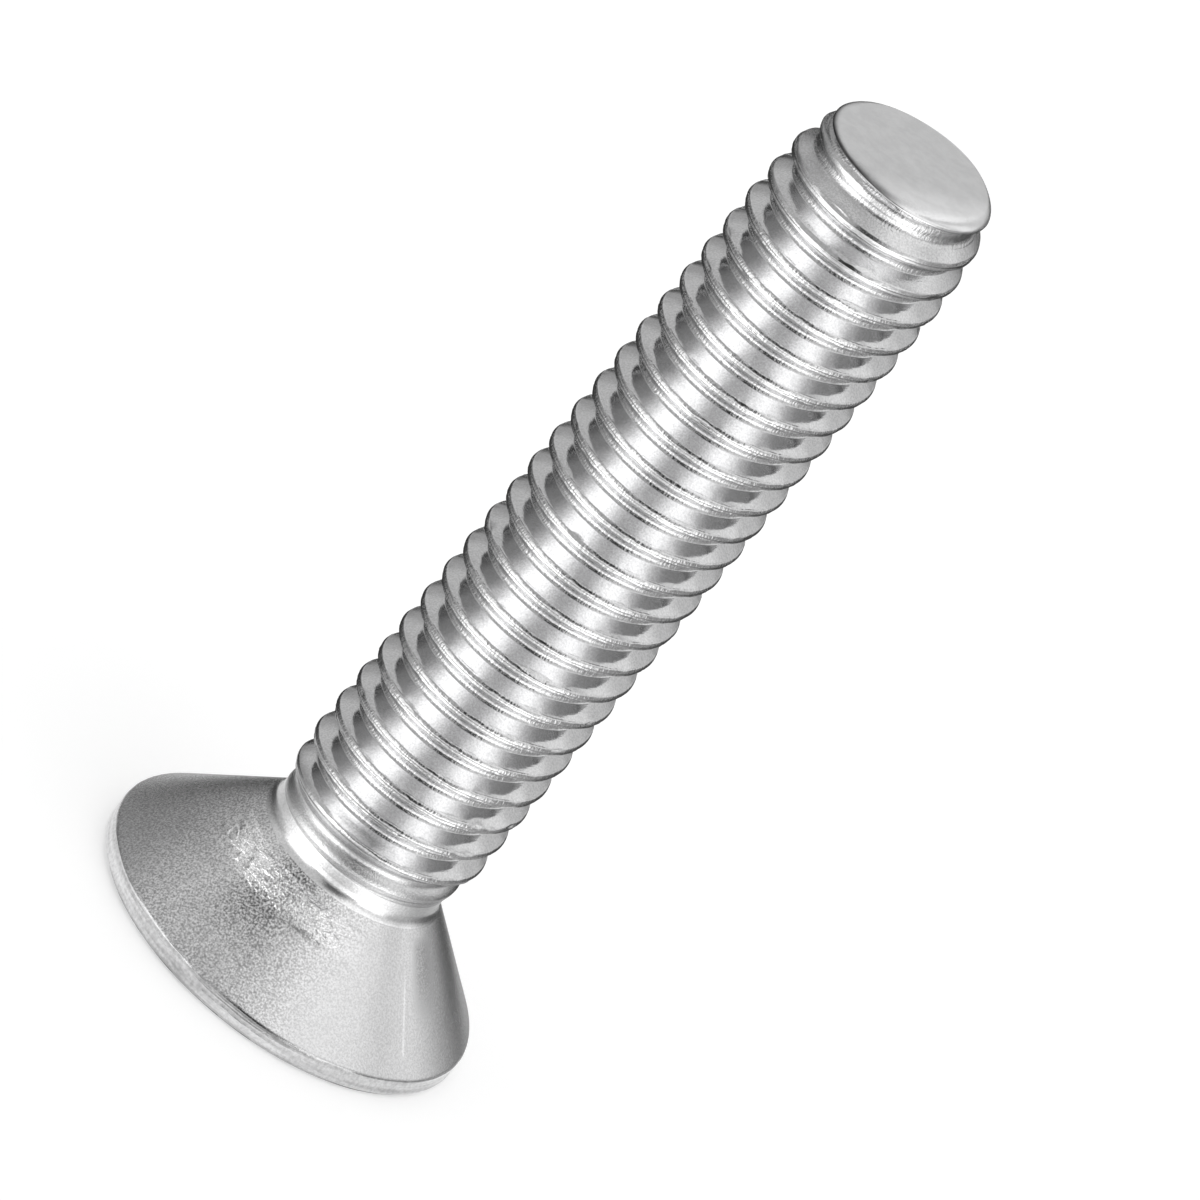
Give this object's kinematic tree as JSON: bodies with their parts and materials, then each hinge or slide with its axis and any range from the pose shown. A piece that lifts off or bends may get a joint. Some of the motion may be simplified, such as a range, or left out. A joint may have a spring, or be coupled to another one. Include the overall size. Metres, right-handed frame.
{
  "type": "countersunk socket screw",
  "caption": "Metric machine screw with a flat countersunk head, a hexagon socket in its face and a right-hand thread up to the head.",
  "frame": {"origin": "middle of the head's flat face, which the screw stands on", "axes": "+Z along the screw's axis from the head to the tip; two opposite corners of the hexagon socket lie along X"},
  "size_m": [0.0114, 0.0114, 0.0296],
  "materials": {
    "bright_steel": "bright plated steel, satin on the cone of the head"
  },
  "bodies": {
    "root": {"screw": "bright_steel"}
  },
  "joints": []
}
